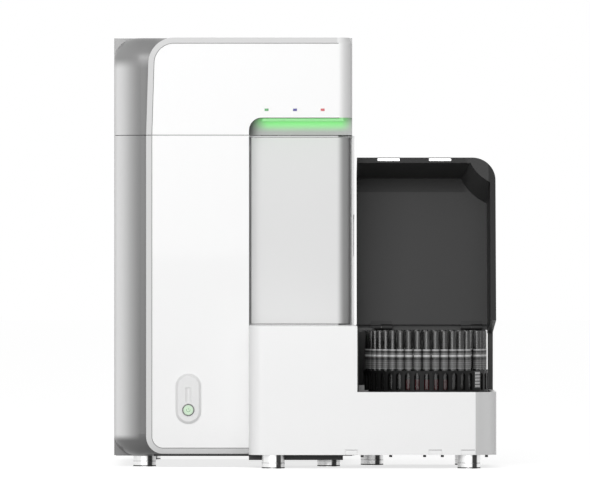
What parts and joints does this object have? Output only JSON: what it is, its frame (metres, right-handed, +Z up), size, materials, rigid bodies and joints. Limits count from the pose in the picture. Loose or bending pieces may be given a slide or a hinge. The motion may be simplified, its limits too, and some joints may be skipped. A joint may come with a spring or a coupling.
{
  "type": "flow cytometer",
  "caption": "Bench flow cytometer: tall rounded cabinet with a recessed front door and a docked carousel tube loader under a hinged smoked lid.",
  "frame": {"origin": "on the bench, under the middle of the whole instrument", "axes": "+X to the instrument's right as seen from the front, -Y towards the user, +Z up"},
  "size_m": [0.625, 0.69, 0.7],
  "materials": {
    "silver_shell": "satin silver paint",
    "white_moulding": "soft gloss white moulding",
    "grey_door": "satin light grey paint",
    "pocket_liner": "satin grey",
    "light_bar": "glowing green diffuser",
    "led_green": "clear green lens",
    "led_blue": "clear blue lens",
    "led_red": "clear red lens",
    "button_face": "backlit pale green cap",
    "dark_ring": "dark chrome",
    "black_plastic": "fine matte black",
    "zinc_plate": "grey powder coat",
    "steel": "plain steel",
    "black_steel": "black oxide",
    "foot_metal": "polished metal",
    "bay_liner": "light grey",
    "filter_shell": "milky plastic",
    "pump_body": "dark grey",
    "deck_plate": "machined",
    "laser_body": "black anodised",
    "detector_body": "dark grey",
    "circuit_board": "green board",
    "supply_case": "sheet metal",
    "fitting_plastic": "natural plastic",
    "smoked_lid": "smoked translucent moulding",
    "lid_frame": "dark grey moulding",
    "magnet": "nickel plated",
    "rack_plastic": "dark grey moulding",
    "hub_plastic": "dark grey moulding",
    "tube_plastic": "clear",
    "marker": "bright plate",
    "motor_case": "black",
    "sensor_case": "grey",
    "arm_metal": "satin"
  },
  "bodies": {
    "instrument": {"arm_rail": "black_plastic", "base_plate": "zinc_plate", "body_hinge_leaves": "steel", "button_ring": "dark_ring", "carousel_bearing": "steel", "carousel_motor": "motor_case", "carousel_sensor": "sensor_case", "catch_magnets": "magnet", "data_ports": "black_plastic", "detector_array": "detector_body", "docking_plate": "zinc_plate", "door_frame": "zinc_plate", "fan_frame": "black_plastic", "feet": "foot_metal", "flow_cell": "deck_plate", "fluid_ports": "fitting_plastic", "fluid_pump": "pump_body", "fluidics_bay": "bay_liner", "frame_hinge_brackets": "black_steel", "front_panel_lower": "white_moulding", "hinge_pins": "steel", "inner_frame": "zinc_plate", "lasers": "laser_body", "lid_frame": "lid_frame", "loader_housing": "white_moulding", "loader_tray": "zinc_plate", "main_board": "circuit_board", "mains_inlet": "black_plastic", "optical_deck": "deck_plate", "power_pod": "white_moulding", "power_supply": "supply_case", "push_switch": "black_plastic", "rear_panel": "zinc_plate", "sheath_filter": "filter_shell", "side_cover_left": "silver_shell", "side_cover_right": "silver_shell", "well_liner": "black_plastic"},
    "top_cover": {"top_cover": "silver_shell", "front_panel_upper": "white_moulding", "light_pocket": "pocket_liner", "light_bar": "light_bar", "led_green": "led_green", "led_blue": "led_blue", "led_red": "led_red", "cover_hinge_leaves": "steel"},
    "front_door": {"front_door": "grey_door"},
    "power_button": {"power_button": "button_face"},
    "rocker_switch": {"rocker_switch": "black_plastic"},
    "fan_rotor": {"fan_rotor": "black_plastic"},
    "lid": {"lid": "smoked_lid", "lid_hinge_leaves": "black_steel", "lid_strikes": "steel"},
    "carousel": {"carousel_rack": "rack_plastic", "carousel_hub": "hub_plastic", "sample_tubes": "tube_plastic", "marker_plate": "marker", "carousel_spindle": "steel"},
    "guide_arm": {"guide_arm": "arm_metal"}
  },
  "joints": [
    {"name": "top_cover_hinge", "type": "hinge", "parent": "instrument", "child": "top_cover", "pos_m": [-0.118, 0.3375, 0.541], "axis": [-1, 0, 0], "range_deg": [0, 65]},
    {"name": "front_door_hinge", "type": "hinge", "parent": "instrument", "child": "front_door", "pos_m": [-0.084, -0.217, 0.385], "axis": [0, 0, -1], "range_deg": [0, 90]},
    {"name": "power_button_slide", "type": "slide", "parent": "instrument", "child": "power_button", "axis": [0, 1, 0], "range_m": [0, 0.003], "stiffness_N_per_m": 900},
    {"name": "rocker_tilt", "type": "hinge", "parent": "instrument", "child": "rocker_switch", "pos_m": [0.02, 0.332, 0.106], "axis": [1, 0, 0], "range_deg": [0, 16]},
    {"name": "fan_spin", "type": "hinge", "parent": "instrument", "child": "fan_rotor", "pos_m": [-0.205, 0.319, 0.42], "axis": [0, 1, 0], "continuous": true},
    {"name": "lid_hinge", "type": "hinge", "parent": "instrument", "child": "lid", "pos_m": [0.1997, -0.081, 0.2265], "axis": [1, 0, 0], "range_deg": [0, 102]},
    {"name": "carousel_turn", "type": "hinge", "parent": "instrument", "child": "carousel", "pos_m": [0.1964, -0.232, 0.1], "axis": [0, 0, 1], "continuous": true},
    {"name": "guide_arm_slide", "type": "slide", "parent": "instrument", "child": "guide_arm", "axis": [-1, 0, 0], "range_m": [0, 0.029]}
  ]
}
